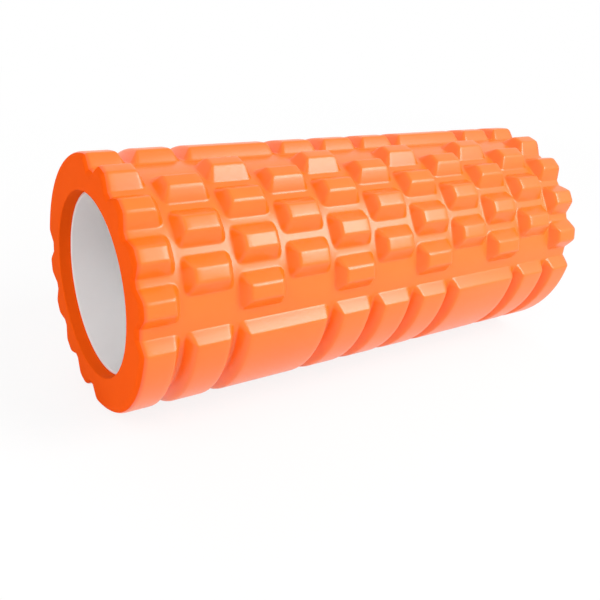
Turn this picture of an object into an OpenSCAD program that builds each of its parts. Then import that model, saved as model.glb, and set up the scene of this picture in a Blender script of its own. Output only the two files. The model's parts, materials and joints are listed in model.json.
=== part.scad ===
// Textured foam roller: a moulded foam sleeve bonded onto a hollow core tube.
// The axis lies along X and the origin is on the axis at mid-length, with +Z up.
// Two zones of staggered blocks and two zones of bars alternate around the sleeve.
// The roller lies on the flat stretch between a bar zone and the next row of blocks.

/* [Roller] */
// Overall length of the foam sleeve
roller_length = 330; // [200:1:600]
// Diameter over the tops of the blocks and bars
roller_diameter = 145; // [136:1:180]
// Rounding of the sleeve's outer rim at both ends
rim_radius = 4; // [1:0.5:5]

/* [Core tube] */
// Outside diameter of the core tube
core_diameter = 104; // [80:1:106]
// Wall thickness of the core tube
core_wall = 1.5; // [1.2:0.1:6]
// How far each end of the core tube sits inside the sleeve
core_recess = 7; // [1:0.5:20]
// Chamfer on both edges of each tube end
core_chamfer = 0.4; // [0.1:0.1:0.5]

/* [Adhesive] */
// Thickness of the adhesive film between the tube and the sleeve
film_thickness = 0.25; // [0.1:0.05:0.6]
// Bare stretch of tube left at each end of the film
film_margin = 6; // [2:0.5:20]

/* [Pattern] */
// Depth of the grooves between the blocks and bars
groove_depth = 6.8; // [4:0.1:9]
// Distance aimed at between neighbouring columns, along the axis
column_pitch = 31.2; // [30:0.1:45]
// Distance between neighbouring rows, around the outer diameter
row_pitch = 27.2; // [25:0.1:30]
// Number of rows in a full column of one block zone
zone_rows = 4; // [3:1:4]
// Columns between a wide bar and the end of the sleeve
wide_bar_offset = 2; // [1:1:3]

/* [Blocks and bars] */
// Length of a block along the axis, at its foot
block_length = 28.4; // [16:0.1:30]
// Length of the blocks at the ends of the sleeve, at their foot
end_block_length = 23.2; // [14:0.1:30]
// Width of a block around the sleeve, at its foot
block_width = 20.4; // [16:0.1:21]
// Run of the sloping flanks that face along the axis
end_flank = 4.2; // [1:0.1:6]
// Run of a block's sloping flanks that face around the sleeve
side_flank = 6.2; // [2:0.1:7]
// Groove between the last row of blocks and the bars, at the foot
bar_gap = 6.6; // [2:0.1:12]
// Run of the sloping flank at each end of a bar
bar_flank = 5.7; // [2:0.1:10]

/* [Hidden] */
$fn = 180;

half_length = roller_length / 2;
outer_r = roller_diameter / 2;
valley_r = outer_r - groove_depth;
core_r = core_diameter / 2;
sleeve_bore_r = core_r + film_thickness;
tube_length = roller_length - 2 * core_recess;
film_length = tube_length - 2 * film_margin;

// Raised shapes start inside the sleeve's wall, between its bore and its rim rounding
root_r = (sleeve_bore_r + valley_r - rim_radius) / 2;
// Cutting shapes pass this far beyond the surfaces they cut
overshoot = 1;
// Flanks of the raised shapes run on past their foot and top by this share of the groove's depth
flank_tuck = 0.15;
flank_rise = 0.05;

// An odd number of columns fills the length, and the two end columns are cut off by the sleeve's ends
columns_length = roller_length + block_length - 2 * end_block_length;
column_count = 2 * round(columns_length / (2 * column_pitch)) + 1;
column_step = columns_length / (column_count - 1);

// Angles around the axis, in degrees
zones = 2;
zone_turn = 360 / zones;
row_angle = arc_angle(row_pitch, outer_r);
block_foot_angle = arc_angle(block_width / 2, valley_r);
block_top_angle = arc_angle(block_width / 2 - side_flank, outer_r);
last_row_angle = row_angle * (zone_rows - 1) / 2;
bar_foot_start = last_row_angle + block_foot_angle + arc_angle(bar_gap, valley_r);
bar_top_start = bar_foot_start + arc_angle(bar_flank, outer_r);
bar_foot_angle = zone_turn / 2 - bar_foot_start;
bar_top_angle = zone_turn / 2 - bar_top_start;
// Angle 0 is straight down, where the flat between the bars and the first row lies
first_zone_angle = (last_row_angle + block_top_angle + bar_top_start) / 2;

function arc_angle(arc, r) = arc / r * 180 / PI;
function polar(r, angle) = [r * cos(angle), r * sin(angle)];
function column_x(column) = (column - (column_count - 1) / 2) * column_step;
function is_wide_start(column) =
    column_count > 2 * wide_bar_offset + 4
    && (column == wide_bar_offset || column == column_count - 2 - wide_bar_offset);

// Foot limits along the axis of each block column and each bar
function span_start(column) = column == 0 ? -half_length : column_x(column) - block_length / 2;
function span_end(column) = column == column_count - 1 ? half_length : column_x(column) + block_length / 2;
function block_span(column) = [span_start(column), span_end(column)];
function bar_span(column) = [span_start(column), span_end(is_wide_start(column) ? column + 1 : column)];
full_columns = [for (column = [0 : 2 : column_count - 1]) block_span(column)];
offset_columns = [for (column = [1 : 2 : column_count - 2]) block_span(column)];
bars = [for (column = [0 : column_count - 1]) if (!is_wide_start(column - 1)) bar_span(column)];

// Row angles of one zone, from its middle
full_rows = [for (row = [0 : zone_rows - 1]) (row - (zone_rows - 1) / 2) * row_angle];
offset_rows = [for (row = [0 : zone_rows - 2]) (row - (zone_rows - 2) / 2) * row_angle];

// Turns a shape made around Z so that its axis lies along X and its angle 0 points down
module along_x() {
    rotate([0, 90, 0]) children();
}

module tube_ring(r_in, r_out, length) {
    translate([0, 0, -length / 2])
        difference() {
            cylinder(r = r_out, h = length);
            translate([0, 0, -overshoot])
                cylinder(r = r_in, h = length + 2 * overshoot);
        }
}

// Half-section of the sleeve between two radii, with rounded rims
module rimmed_section(r_in, r_out) {
    straight = roller_length - 2 * rim_radius;
    translate([r_in, -half_length])
        square([r_out - rim_radius - r_in, roller_length]);
    translate([r_in, -straight / 2])
        square([r_out - r_in, straight]);
    // In a thin wall the rounding's circle is cut off at the bore
    intersection() {
        translate([r_in, -roller_length])
            square([r_out, 2 * roller_length]);
        for (side = [-1, 1])
            translate([r_out - rim_radius, side * straight / 2])
                circle(r = rim_radius);
    }
}

// Half-section of one raised ring: sloping flanks inside the length, none at the sleeve's ends
module ring_section(span) {
    slope = end_flank / groove_depth;
    at_start = span[0] == -half_length;
    at_end = span[1] == half_length;
    foot_start = at_start ? span[0] - overshoot : span[0];
    foot_end = at_end ? span[1] + overshoot : span[1];
    top_r = outer_r + overshoot;
    rise = (top_r - valley_r) * slope;
    polygon([
        [root_r, foot_start],
        [valley_r, foot_start],
        [top_r, at_start ? foot_start : foot_start + rise],
        [top_r, at_end ? foot_end : foot_end - rise],
        [valley_r, foot_end],
        [root_r, foot_end]
    ]);
}

module raised_rings(spans) {
    rotate_extrude()
        intersection() {
            rimmed_section(root_r, outer_r);
            for (span = spans) ring_section(span);
        }
}

// Cross-section of one raised shape, with sloping sides, pointing along angle 0
module wedge_section(foot_angle, top_angle) {
    foot = polar(valley_r, foot_angle);
    top = polar(outer_r, top_angle);
    tucked = foot - (top - foot) * flank_tuck;
    risen = top + (top - foot) * flank_rise;
    tuck_angle = atan2(tucked[1], tucked[0]);
    inner = polar(root_r / 2, tuck_angle);
    beyond = 2 * outer_r;
    crown = polar(beyond, top_angle / 2);
    polygon([
        inner, tucked, risen, crown,
        [crown[0], -crown[1]], [risen[0], -risen[1]], [tucked[0], -tucked[1]], [inner[0], -inner[1]]
    ]);
}

// Keeps the stretches of a set of raised rings that stand at the given angles in every zone
module raised_shapes(spans, angles, foot_angle, top_angle) {
    intersection() {
        raised_rings(spans);
        linear_extrude(height = roller_length + 2 * overshoot, center = true)
            for (zone = [0 : zones - 1], angle = angles)
                rotate(first_zone_angle + zone * zone_turn + angle)
                    wedge_section(foot_angle, top_angle);
    }
}

module core_tube() {
    color("white")
        along_x()
            rotate_extrude()
                polygon([
                    [core_r - core_wall, -tube_length / 2 + core_chamfer],
                    [core_r - core_wall + core_chamfer, -tube_length / 2],
                    [core_r - core_chamfer, -tube_length / 2],
                    [core_r, -tube_length / 2 + core_chamfer],
                    [core_r, tube_length / 2 - core_chamfer],
                    [core_r - core_chamfer, tube_length / 2],
                    [core_r - core_wall + core_chamfer, tube_length / 2],
                    [core_r - core_wall, tube_length / 2 - core_chamfer]
                ]);
}

module adhesive_film() {
    color("wheat")
        along_x()
            tube_ring(core_r, sleeve_bore_r, film_length);
}

module foam_sleeve() {
    color("orangered")
        along_x()
            union() {
                rotate_extrude()
                    rimmed_section(sleeve_bore_r, valley_r);
                raised_shapes(full_columns, full_rows, block_foot_angle, block_top_angle);
                raised_shapes(offset_columns, offset_rows, block_foot_angle, block_top_angle);
                raised_shapes(bars, [zone_turn / 2], bar_foot_angle, bar_top_angle);
            }
}

core_tube();
adhesive_film();
foam_sleeve();
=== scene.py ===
"""Looks of a textured foam roller: a moulded foam sleeve bonded onto a white core tube.

Lengths are in metres and angles in degrees unless a name says otherwise. X runs along the roller, Z is up
and the origin is on the axis at mid-length. An angle around the axis starts straight down and turns
towards +Y, so 90 is the +Y side and 180 is the top.
"""

import json
import math

import bpy
from mathutils import Matrix, Vector


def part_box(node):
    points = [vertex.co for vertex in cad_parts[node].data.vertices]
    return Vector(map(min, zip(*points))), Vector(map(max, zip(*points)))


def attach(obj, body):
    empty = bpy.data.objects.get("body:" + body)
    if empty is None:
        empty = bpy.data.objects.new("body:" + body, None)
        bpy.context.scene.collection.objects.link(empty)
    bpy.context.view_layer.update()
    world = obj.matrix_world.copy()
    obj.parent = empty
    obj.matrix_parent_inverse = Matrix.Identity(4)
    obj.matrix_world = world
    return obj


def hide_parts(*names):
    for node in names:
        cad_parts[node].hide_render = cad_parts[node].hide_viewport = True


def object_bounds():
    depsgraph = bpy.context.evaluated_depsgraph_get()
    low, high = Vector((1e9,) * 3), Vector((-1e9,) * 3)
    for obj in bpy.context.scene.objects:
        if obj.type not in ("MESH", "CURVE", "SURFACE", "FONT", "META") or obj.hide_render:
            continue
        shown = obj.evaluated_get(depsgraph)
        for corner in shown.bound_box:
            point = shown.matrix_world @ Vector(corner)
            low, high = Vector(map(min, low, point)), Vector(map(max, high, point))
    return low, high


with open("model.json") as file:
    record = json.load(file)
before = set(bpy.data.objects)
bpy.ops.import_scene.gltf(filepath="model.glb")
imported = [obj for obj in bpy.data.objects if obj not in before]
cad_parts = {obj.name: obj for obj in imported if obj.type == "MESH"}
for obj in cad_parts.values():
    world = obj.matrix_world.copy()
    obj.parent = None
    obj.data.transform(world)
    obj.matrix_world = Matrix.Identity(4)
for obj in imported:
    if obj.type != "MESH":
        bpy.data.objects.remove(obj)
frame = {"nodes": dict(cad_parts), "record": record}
cad_low, cad_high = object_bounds()

MM = 0.001

# Sleeve
HALF_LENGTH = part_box("foam_sleeve")[1].x
OUTER_R = 72.5 * MM
GROOVE_DEPTH = 6.8 * MM
VALLEY_R = OUTER_R - GROOVE_DEPTH
RIM_RADIUS = 4 * MM
# Distance from mid-length at which the rounded rims start
RIM_START = HALF_LENGTH - RIM_RADIUS
SLEEVE_BORE_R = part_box("adhesive_film")[1].y
LIP_ROUND = 0.5 * MM

# Pattern of blocks and bars
BLOCK_LENGTH = 28.4 * MM
END_BLOCK_LENGTH = 23.2 * MM
BLOCK_WIDTH = 20.4 * MM
COLUMN_COUNT = 11
ROW_PITCH = 27.2 * MM
ZONE_ROWS = 4
WIDE_BAR_OFFSET = 2
END_FLANK = 4.2 * MM
SIDE_FLANK = 6.2 * MM
BAR_GAP = 6.6 * MM
BAR_FLANK = 5.7 * MM
ZONES = 2

# Rounding as shares of a flank's run: the top of end flanks, the top of side flanks and the foot of both
END_ROUND = 0.32
SIDE_ROUND = 0.17
FOOT_ROUND = 0.11
# Outline of the corners of blocks and bars, where 2 is an ellipse and more is squarer
CORNER_POWER = 2.3

# Core tube
TUBE_HALF_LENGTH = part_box("core_tube")[1].x
TUBE_OUTER_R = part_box("core_tube")[1].y
TUBE_INNER_R = frame["record"]["mounts"][0]["dims"]["r_mm"] * MM
TUBE_EDGE = 0.4 * MM
TUBE_SETBACK = 1.5 * MM

# How closely the meshes follow the shapes
ROUND_SHARES = (-1, -0.5, 0, 0.5, 1)
FLANK_SHARES = (0.5, 0.65, 0.8)
END_FACE_SHARES = (0.08, 0.35, 0.7)
RIM_STEPS = 8
WIDEST_STEP = 3 * MM
CLOSEST_STEP = 0.12 * MM
WIDEST_TURN = 2.0
CLOSEST_TURN = 0.1
EDGE_STEPS = 4
TUBE_SIDES = 256
# Steps of each rim, from the end face, that have the ends' matt finish and their painted shade
SHADED_RIM_STEPS = 5
# Place of the ends' matt material, whose deeper colour is painted shade, in the sleeve's list of materials
SHADED_END_MATERIAL = 1

# Camera, fitted to the photograph
FOCAL_PX = 744.4
IMAGE_PX = 600
CAMERA_AZIMUTH = -34.37
CAMERA_ELEVATION = 16.82
CAMERA_DISTANCE = 498.9 * MM
CAMERA_RIGHT = -20.2 * MM
CAMERA_UP = -34.9 * MM
# The camera stands level when a zone's middle is at this angle, and turns about X with the roller
LEVEL_ZONE_ANGLE = 55.48

# Colours, in pairs where a material varies faintly from place to place
SKIN_COLOURS = ((0.965, 0.165, 0.005), (0.98, 0.175, 0.007))
# Deeper orange of the end faces and rims: painted shade of the ends, which face away from the key light
END_SHADE_COLOURS = ((0.94, 0.1, 0.004), (0.96, 0.107, 0.005))
PLASTIC_COLOURS = ((0.87, 0.87, 0.87), (0.89, 0.89, 0.89))
ADHESIVE_COLOURS = ((0.66, 0.49, 0.23), (0.76, 0.6, 0.33))
FLOOR_COLOUR = (0.88, 0.88, 0.88, 1)

# Roughness, as a middle value or a range, and strength of reflections
SKIN_ROUGHNESS = 0.32
SKIN_SPECULAR = 0.63
CUT_ROUGHNESS = 0.8
CUT_SPECULAR = 0.03
FOAM_ROUGHNESS_SPREAD = 0.04
PLASTIC_ROUGHNESS = (0.28, 0.36)
ADHESIVE_ROUGHNESS = (0.45, 0.6)
FLOOR_ROUGHNESS = 0.9

# Noises: scales per metre, bumps as strength and height, and the range of most of a noise's values
MOTTLE_SCALE = 45
MOTTLE_BUMP = (0.12, 0.5 * MM)
GRAIN_SCALE = 850
GRAIN_BUMP = (0.06, 0.2 * MM)
EXTRUSION_SCALE = 400
EXTRUSION_STRETCH = (0.02, 1, 1)
EXTRUSION_BUMP = (0.05, 0.1 * MM)
PLASTIC_CLOUD_SCALE = 30
ADHESIVE_CLOUD_SCALE = 90
NOISE_LOW = 0.3
NOISE_HIGH = 0.7

# Light: directions from the roller, sizes and distances in metres, powers in watts
KEY_DIRECTION = (0.49, -0.62, 0.61)
KEY_WIDTH = 0.52
KEY_LENGTH = 0.85
KEY_POWER = 12.1
LEFT_DIRECTION = (-0.7, -0.3, 0.65)
LEFT_POWER = 6
BACK_DIRECTION = (0.1, 0.85, 0.5)
BACK_POWER = 4.5
FILL_SIZE = 0.8
LIGHT_DISTANCE = 1.2
WORLD_LIGHT = 0.4
FLOOR_SIZE = 12
# Share of plain white in the floor close to the roller, and how far out it becomes all white
FLOOR_GLOW = 0.85
FLOOR_FADE_START = 0.25
FLOOR_FADE_END = 0.9


def arc_angle(arc, radius):
    return math.degrees(arc / radius)


# Distance from mid-length at which the skin's colour, which changes over the rim, has become the ends'
# painted shade
END_SHADE_FULL = RIM_START + RIM_RADIUS * math.sin(math.pi / 2 * (RIM_STEPS - SHADED_RIM_STEPS) / RIM_STEPS)

# Distance between the middles of neighbouring columns, of which the end ones are cut off
COLUMN_STEP = (2 * (HALF_LENGTH - END_BLOCK_LENGTH) + BLOCK_LENGTH) / (COLUMN_COUNT - 1)

# Angles of the pattern, from the middle of a zone of blocks
ROW_ANGLE = arc_angle(ROW_PITCH, OUTER_R)
BLOCK_FOOT_ANGLE = arc_angle(BLOCK_WIDTH / 2, VALLEY_R)
BLOCK_TOP_ANGLE = arc_angle(BLOCK_WIDTH / 2 - SIDE_FLANK, OUTER_R)
LAST_ROW_ANGLE = ROW_ANGLE * (ZONE_ROWS - 1) / 2
BAR_FOOT_START = LAST_ROW_ANGLE + BLOCK_FOOT_ANGLE + arc_angle(BAR_GAP, VALLEY_R)
BAR_TOP_START = BAR_FOOT_START + arc_angle(BAR_FLANK, OUTER_R)
ZONE_TURN = 360 / ZONES
# Middle of the first zone, with the flat between its outer row and the bars straight down
FIRST_ZONE_ANGLE = (LAST_ROW_ANGLE + BLOCK_TOP_ANGLE + BAR_TOP_START) / 2


def column_x(column):
    return (column - (COLUMN_COUNT - 1) / 2) * COLUMN_STEP


def span(first, last):
    """Foot limits along the axis from one column to another, open-ended at the sleeve's ends."""
    start = -math.inf if first == 0 else column_x(first) - BLOCK_LENGTH / 2
    end = math.inf if last == COLUMN_COUNT - 1 else column_x(last) + BLOCK_LENGTH / 2
    return start, end


def bar_spans():
    wide = (WIDE_BAR_OFFSET, COLUMN_COUNT - 2 - WIDE_BAR_OFFSET)
    starts = [column for column in range(COLUMN_COUNT) if column - 1 not in wide]
    return [span(column, column + 1 if column in wide else column) for column in starts]


def row_angles(rows):
    return [
        FIRST_ZONE_ANGLE + zone * ZONE_TURN + (row - (rows - 1) / 2) * ROW_ANGLE
        for zone in range(ZONES)
        for row in range(rows)
    ]


# Each family of raised shapes: its spans along the axis, its middles around it, and its half-angles
FAMILIES = [
    {
        "spans": [span(column, column) for column in range(0, COLUMN_COUNT, 2)],
        "middles": row_angles(ZONE_ROWS),
        "top": BLOCK_TOP_ANGLE,
        "foot": BLOCK_FOOT_ANGLE,
    },
    {
        "spans": [span(column, column) for column in range(1, COLUMN_COUNT, 2)],
        "middles": row_angles(ZONE_ROWS - 1),
        "top": BLOCK_TOP_ANGLE,
        "foot": BLOCK_FOOT_ANGLE,
    },
    {
        "spans": bar_spans(),
        "middles": [FIRST_ZONE_ANGLE + (zone + 0.5) * ZONE_TURN for zone in range(ZONES)],
        "top": ZONE_TURN / 2 - BAR_TOP_START,
        "foot": ZONE_TURN / 2 - BAR_FOOT_START,
    },
]


def turn_between(angle, middle):
    """Smallest turn between two angles, always positive."""
    return abs((angle - middle + 180) % 360 - 180)


def place_along(x, family):
    """Place on the nearest end flank: below 0 on top of a shape, 1 at its foot, more in the groove."""
    return min(
        max(start + END_FLANK - x, x - end + END_FLANK) / END_FLANK
        for start, end in family["spans"]
    )


def place_around(angle, family):
    """The same, on the nearest side flank."""
    run = family["foot"] - family["top"]
    return min((turn_between(angle, middle) - family["top"]) / run for middle in family["middles"])


def soft_limit(value, half_width):
    """The larger of value and 0, blended over half_width on both sides of 0."""
    if value <= -half_width:
        return 0.0
    if value >= half_width:
        return value
    return (value + half_width) ** 2 / (4 * half_width)


def height_share(along, around):
    """Height of a raised shape, from 0 in the groove to 1 on top, with rounded edges and corners."""
    fall_along = soft_limit(along, END_ROUND)
    fall_around = soft_limit(around, SIDE_ROUND)
    fall = (fall_along**CORNER_POWER + fall_around**CORNER_POWER) ** (1 / CORNER_POWER)
    return soft_limit(1 - fall, FOOT_ROUND)


def filled(lines, widest):
    """Sorted lines with any gap wider than widest split evenly."""
    lines = sorted(lines)
    out = []
    for here, there in zip(lines, lines[1:]):
        parts = max(1, math.ceil((there - here) / widest))
        out.extend(here + (there - here) * part / parts for part in range(parts))
    return out + [lines[-1]]


def thinned(lines, closest):
    """Sorted lines without those closer than closest to the one kept before."""
    out = []
    for line in sorted(lines):
        if not out or line - out[-1] > closest:
            out.append(line)
    return out


def flank_steps(top_round):
    """Places on a flank that the mesh follows: close together over the roundings at its top and foot."""
    top = [top_round * share for share in ROUND_SHARES]
    foot = [1 + FOOT_ROUND * share for share in ROUND_SHARES]
    return top + list(FLANK_SHARES) + foot


def axis_lines():
    """Places along the axis for the sleeve's rings of points, with their drop into the rim rounding."""
    lines = {-RIM_START, RIM_START}
    for family in FAMILIES:
        for start, end in family["spans"]:
            for step in flank_steps(END_ROUND):
                lines.add(start + END_FLANK * (1 - step))
                lines.add(end - END_FLANK * (1 - step))
    inside = [line for line in lines if abs(line) <= RIM_START]
    rings = [(x, 0.0) for x in filled(thinned(inside, CLOSEST_STEP), WIDEST_STEP)]
    turns = [math.pi / 2 * step / RIM_STEPS for step in range(1, RIM_STEPS + 1)]
    rim = [
        (RIM_START + RIM_RADIUS * math.sin(turn), RIM_RADIUS * (1 - math.cos(turn)))
        for turn in turns
    ]
    return [(-x, drop) for x, drop in reversed(rim)] + rings + rim


def angle_lines():
    """Angles around the axis for the points of each ring."""
    lines = set()
    for family in FAMILIES:
        run = family["foot"] - family["top"]
        for middle in family["middles"]:
            for step in flank_steps(SIDE_ROUND):
                offset = family["top"] + run * step
                lines.add((middle + offset) % 360)
                lines.add((middle - offset) % 360)
    lines = thinned(lines, CLOSEST_TURN)
    return filled(lines + [lines[0] + 360], WIDEST_TURN)[:-1]


def outer_rings(angles):
    """Radii of the patterned surface: one list per ring, with the ring's place along the axis."""
    around = [[place_around(angle, family) for angle in angles] for family in FAMILIES]
    rings = []
    for x, drop in axis_lines():
        along = [place_along(x, family) for family in FAMILIES]
        radii = []
        for index in range(len(angles)):
            shares = [height_share(a, b[index]) for a, b in zip(along, around)]
            radii.append(VALLEY_R + GROOVE_DEPTH * max(shares) - drop)
        rings.append((x, radii))
    return rings


def end_face_rings(side, edge):
    """Rings over one flat end of the sleeve, from its outer edge over the rounded lip into its bore."""
    lip_r = SLEEVE_BORE_R + LIP_ROUND
    face = [
        (side * HALF_LENGTH, [radius + (lip_r - radius) * share for radius in edge])
        for share in END_FACE_SHARES
    ]
    turns = [math.pi / 2 * step / EDGE_STEPS for step in range(EDGE_STEPS + 1)]
    lip = []
    for turn in turns:
        x = HALF_LENGTH - LIP_ROUND * (1 - math.cos(turn))
        radius = lip_r - LIP_ROUND * math.sin(turn)
        lip.append((side * x, [radius] * len(edge)))
    set_back = (side * (HALF_LENGTH - 2 * LIP_ROUND), [SLEEVE_BORE_R] * len(edge))
    return face + lip + [set_back]


def mesh_from_rings(name, rings, angles):
    """A closed ring-shaped solid through rings of points that follow one another all the way round."""
    count = len(angles)
    turns = [math.radians(angle - 90) for angle in angles]
    points = [
        (x, radius * math.cos(turn), radius * math.sin(turn))
        for x, radii in rings
        for radius, turn in zip(radii, turns)
    ]
    faces = []
    for ring in range(len(rings)):
        start = ring * count
        following = (ring + 1) % len(rings) * count
        for index in range(count):
            beside = (index + 1) % count
            faces.append((start + index, following + index, following + beside, start + beside))
    mesh = bpy.data.meshes.new(name)
    mesh.from_pydata(points, [], faces)
    mesh.polygons.foreach_set("use_smooth", [True] * len(faces))
    mesh.update()
    piece = bpy.data.objects.new(name, mesh)
    bpy.context.collection.objects.link(piece)
    return piece


def make_sleeve():
    angles = angle_lines()
    outer = outer_rings(angles)
    left_edge = outer[0][1]
    right_edge = outer[-1][1]
    bore = [(side * TUBE_HALF_LENGTH, [SLEEVE_BORE_R] * len(angles)) for side in (1, -1)]
    rings = outer + end_face_rings(1, right_edge) + bore + list(reversed(end_face_rings(-1, left_edge)))
    piece = mesh_from_rings("sleeve_foam", rings, angles)
    # Rim steps near the ends, the end faces and the bore get the matt material with its painted shade
    # colour
    skin_rows = range(SHADED_RIM_STEPS, len(outer) - 1 - SHADED_RIM_STEPS)
    for index, face in enumerate(piece.data.polygons):
        if index // len(angles) not in skin_rows:
            face.material_index = SHADED_END_MATERIAL
    return piece


def tube_section():
    """Points around the section of the tube's wall: its rounded edges, and points set back from them."""
    straight_end = TUBE_HALF_LENGTH - TUBE_EDGE
    right = [(straight_end - TUBE_SETBACK, TUBE_OUTER_R)]
    for centre_r, first_turn in ((TUBE_OUTER_R - TUBE_EDGE, 90), (TUBE_INNER_R + TUBE_EDGE, 0)):
        for step in range(EDGE_STEPS + 1):
            turn = math.radians(first_turn - 90 * step / EDGE_STEPS)
            x = straight_end + TUBE_EDGE * math.cos(turn)
            right.append((x, centre_r + TUBE_EDGE * math.sin(turn)))
    right.append((straight_end - TUBE_SETBACK, TUBE_INNER_R))
    left = [(-x, radius) for x, radius in reversed(right)]
    return right + left


def make_tube():
    angles = [360 * index / TUBE_SIDES for index in range(TUBE_SIDES)]
    rings = [(x, [radius] * TUBE_SIDES) for x, radius in tube_section()]
    return mesh_from_rings("tube_plastic", rings, angles)


def make_camera():
    azimuth = math.radians(CAMERA_AZIMUTH)
    elevation = math.radians(CAMERA_ELEVATION)
    back = Vector(
        (
            math.sin(azimuth) * math.cos(elevation),
            -math.cos(azimuth) * math.cos(elevation),
            math.sin(elevation),
        )
    )
    right = Vector((math.cos(azimuth), math.sin(azimuth), 0))
    turn = Matrix.Rotation(math.radians(FIRST_ZONE_ANGLE - LEVEL_ZONE_ANGLE), 3, "X")
    back = turn @ back
    right = turn @ right
    up = back.cross(right)
    data = bpy.data.cameras.new("camera")
    data.lens = data.sensor_width * FOCAL_PX / IMAGE_PX
    camera = bpy.data.objects.new("camera", data)
    bpy.context.collection.objects.link(camera)
    axes = Matrix((right, up, back)).transposed().to_4x4()
    place = back * CAMERA_DISTANCE + right * CAMERA_RIGHT + up * CAMERA_UP
    camera.matrix_world = Matrix.Translation(place) @ axes
    bpy.context.scene.camera = camera


class Nodes:
    """Short ways to place and join the nodes of one material."""

    def __init__(self, material):
        self.tree = material.node_tree
        self.shader = self.tree.nodes["Principled BSDF"]
        self.place = self.tree.nodes.new("ShaderNodeTexCoord").outputs["Object"]

    def join(self, start, end):
        self.tree.links.new(start, end)

    def stretched(self, scale):
        """Object coordinates scaled by a different amount along each axis."""
        node = self.tree.nodes.new("ShaderNodeMapping")
        node.inputs["Scale"].default_value = scale
        self.join(self.place, node.inputs["Vector"])
        return node.outputs["Vector"]

    def noise(self, scale, detail=2.0, place=None):
        node = self.tree.nodes.new("ShaderNodeTexNoise")
        node.inputs["Scale"].default_value = scale
        node.inputs["Detail"].default_value = detail
        self.join(place or self.place, node.inputs["Vector"])
        return node.outputs["Fac"]

    def ranged(self, value, low, high, start=NOISE_LOW, end=NOISE_HIGH):
        """A value from start to end spread between low and high, by default a noise's."""
        node = self.tree.nodes.new("ShaderNodeMapRange")
        node.inputs["From Min"].default_value = start
        node.inputs["From Max"].default_value = end
        node.inputs["To Min"].default_value = low
        node.inputs["To Max"].default_value = high
        self.join(value, node.inputs["Value"])
        return node.outputs["Result"]

    def ramp(self, value, low, high):
        """A colour between two others, by a noise value."""
        node = self.tree.nodes.new("ShaderNodeValToRGB")
        node.color_ramp.elements[0].position = NOISE_LOW
        node.color_ramp.elements[0].color = (*low, 1)
        node.color_ramp.elements[1].position = NOISE_HIGH
        node.color_ramp.elements[1].color = (*high, 1)
        self.join(value, node.inputs["Fac"])
        return node.outputs["Color"]

    def end_share(self, start, end):
        """0 along the roller, rising to 1 between two distances from mid-length."""
        parts = self.tree.nodes.new("ShaderNodeSeparateXYZ")
        self.join(self.place, parts.inputs["Vector"])
        distance = self.tree.nodes.new("ShaderNodeMath")
        distance.operation = "ABSOLUTE"
        self.join(parts.outputs["X"], distance.inputs[0])
        return self.ranged(distance.outputs["Value"], 0, 1, start, end)

    def mixed(self, share, first, second):
        """A colour that goes from first to second as share goes from 0 to 1."""
        node = self.tree.nodes.new("ShaderNodeMixRGB")
        self.join(share, node.inputs["Fac"])
        self.join(first, node.inputs["Color1"])
        self.join(second, node.inputs["Color2"])
        return node.outputs["Color"]

    def bump(self, height, strength, distance, under=None):
        node = self.tree.nodes.new("ShaderNodeBump")
        node.inputs["Strength"].default_value = strength
        node.inputs["Distance"].default_value = distance
        self.join(height, node.inputs["Height"])
        if under:
            self.join(under, node.inputs["Normal"])
        return node.outputs["Normal"]


def new_material(name):
    material = bpy.data.materials.new(name)
    material.use_nodes = True
    return material, Nodes(material)


def foam_material(name, roughness, specular, colours, end_shade_colours=None):
    """Closed-cell foam with a faint grain and mottle, whose colour may turn to a deeper painted shade over
    the rims.
    """
    material, nodes = new_material(name)
    shader = nodes.shader.inputs
    mottle = nodes.noise(MOTTLE_SCALE, detail=3)
    grain = nodes.noise(GRAIN_SCALE)
    colour = nodes.ramp(mottle, *colours)
    if end_shade_colours:
        # The deeper end colour is painted shade, blended in over the rim
        end_shade_colour = nodes.ramp(mottle, *end_shade_colours)
        colour = nodes.mixed(nodes.end_share(RIM_START, END_SHADE_FULL), colour, end_shade_colour)
    nodes.join(colour, shader["Base Color"])
    smoothest = roughness - FOAM_ROUGHNESS_SPREAD
    roughest = roughness + FOAM_ROUGHNESS_SPREAD
    nodes.join(nodes.ranged(grain, smoothest, roughest), shader["Roughness"])
    shader["Specular IOR Level"].default_value = specular
    waves = nodes.bump(mottle, *MOTTLE_BUMP)
    nodes.join(nodes.bump(grain, *GRAIN_BUMP, waves), shader["Normal"])
    return material


def plastic_material():
    """Extruded white plastic with faint lines along the axis."""
    material, nodes = new_material("extruded_plastic")
    shader = nodes.shader.inputs
    lines = nodes.noise(EXTRUSION_SCALE, place=nodes.stretched(EXTRUSION_STRETCH))
    cloud = nodes.noise(PLASTIC_CLOUD_SCALE)
    nodes.join(nodes.ramp(cloud, *PLASTIC_COLOURS), shader["Base Color"])
    nodes.join(nodes.ranged(lines, *PLASTIC_ROUGHNESS), shader["Roughness"])
    nodes.join(nodes.bump(lines, *EXTRUSION_BUMP), shader["Normal"])
    return material


def adhesive_material():
    """Cured adhesive, amber and slightly cloudy."""
    material, nodes = new_material("cured_adhesive")
    shader = nodes.shader.inputs
    cloud = nodes.noise(ADHESIVE_CLOUD_SCALE, detail=3)
    nodes.join(nodes.ramp(cloud, *ADHESIVE_COLOURS), shader["Base Color"])
    nodes.join(nodes.ranged(cloud, *ADHESIVE_ROUGHNESS), shader["Roughness"])
    return material


def background_rays(tree):
    """1 for the rays that show the background: from the camera, in reflections and through glass."""
    path = tree.nodes.new("ShaderNodeLightPath")
    seen = path.outputs["Is Camera Ray"]
    for ray in ("Is Glossy Ray", "Is Transmission Ray"):
        either = tree.nodes.new("ShaderNodeMath")
        either.operation = "MAXIMUM"
        tree.links.new(seen, either.inputs[0])
        tree.links.new(path.outputs[ray], either.inputs[1])
        seen = either.outputs["Value"]
    return seen


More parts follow.
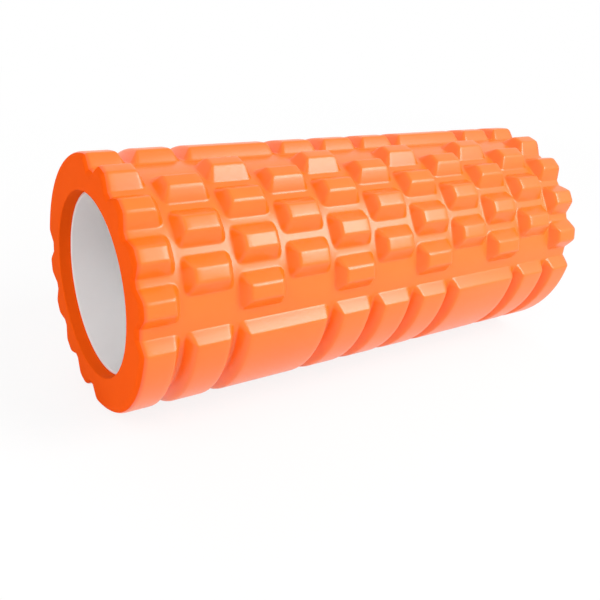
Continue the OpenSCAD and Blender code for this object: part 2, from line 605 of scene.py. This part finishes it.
def floor_material():
    """White floor that keeps a light shadow near the roller and turns plain white further out."""
    material, nodes = new_material("white_floor")
    tree = material.node_tree
    nodes.shader.inputs["Base Color"].default_value = FLOOR_COLOUR
    nodes.shader.inputs["Roughness"].default_value = FLOOR_ROUGHNESS
    distance = tree.nodes.new("ShaderNodeVectorMath")
    distance.operation = "LENGTH"
    nodes.join(nodes.place, distance.inputs[0])
    white = nodes.ranged(distance.outputs["Value"], FLOOR_GLOW, 1, FLOOR_FADE_START, FLOOR_FADE_END)
    share = tree.nodes.new("ShaderNodeMath")
    share.operation = "MULTIPLY"
    nodes.join(background_rays(tree), share.inputs[0])
    nodes.join(white, share.inputs[1])
    glow = tree.nodes.new("ShaderNodeEmission")
    mix = tree.nodes.new("ShaderNodeMixShader")
    nodes.join(share.outputs["Value"], mix.inputs["Fac"])
    nodes.join(nodes.shader.outputs["BSDF"], mix.inputs[1])
    nodes.join(glow.outputs["Emission"], mix.inputs[2])
    nodes.join(mix.outputs["Shader"], tree.nodes["Material Output"].inputs["Surface"])
    return material


def make_world():
    """White to the camera and in reflections, and a softer even light on everything."""
    world = bpy.data.worlds.new("studio")
    bpy.context.scene.world = world
    world.use_nodes = True
    tree = world.node_tree
    background = tree.nodes["Background"]
    background.inputs["Color"].default_value = (1, 1, 1, 1)
    strength = tree.nodes.new("ShaderNodeMapRange")
    strength.inputs["To Min"].default_value = WORLD_LIGHT
    strength.inputs["To Max"].default_value = 1
    tree.links.new(background_rays(tree), strength.inputs["Value"])
    tree.links.new(strength.outputs["Result"], background.inputs["Strength"])


def area_light(name, direction, width, length, power):
    """A soft light that faces the roller from a direction, its length across the roller's axis."""
    data = bpy.data.lights.new(name, "AREA")
    data.shape = "RECTANGLE"
    data.size = width
    data.size_y = length
    data.energy = power
    light = bpy.data.objects.new(name, data)
    bpy.context.collection.objects.link(light)
    toward = Vector(direction).normalized()
    across = Vector((1, 0, 0)).cross(toward).normalized()
    axes = Matrix((across.cross(toward), across, toward)).transposed().to_4x4()
    light.matrix_world = Matrix.Translation(toward * LIGHT_DISTANCE) @ axes
    return light


def make_stage():
    bpy.ops.mesh.primitive_plane_add(size=FLOOR_SIZE, location=(0, 0, cad_low.z))
    floor = bpy.context.object
    floor.name = "floor"
    floor.data.materials.append(floor_material())
    make_world()
    area_light("key", KEY_DIRECTION, KEY_WIDTH, KEY_LENGTH, KEY_POWER)
    left_fill = area_light("left_fill", LEFT_DIRECTION, FILL_SIZE, FILL_SIZE, LEFT_POWER)
    back_fill = area_light("back_fill", BACK_DIRECTION, FILL_SIZE, FILL_SIZE, BACK_POWER)
    # The fills only soften the shadows and leave no highlights of their own
    left_fill.visible_glossy = False
    back_fill.visible_glossy = False


def dress(piece, node, slot, *materials):
    """Gives a piece its materials and puts it in the place of its solid."""
    for material in materials:
        piece.data.materials.append(material)
    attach(piece, "root")
    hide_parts(node)


sleeve = make_sleeve()
satin_skin = foam_material("satin_foam", SKIN_ROUGHNESS, SKIN_SPECULAR, SKIN_COLOURS, END_SHADE_COLOURS)
# The matt end material's deeper orange is painted shade
matt_shaded_end = foam_material("matt_shaded_foam", CUT_ROUGHNESS, CUT_SPECULAR, END_SHADE_COLOURS)
dress(sleeve, "foam_sleeve", "foam", satin_skin, matt_shaded_end)
dress(make_tube(), "core_tube", "core_plastic", plastic_material())

film = frame["nodes"]["adhesive_film"].data
film.materials.clear()
film.materials.append(adhesive_material())

make_camera()
make_stage()

bpy.context.scene.view_settings.view_transform = "Standard"
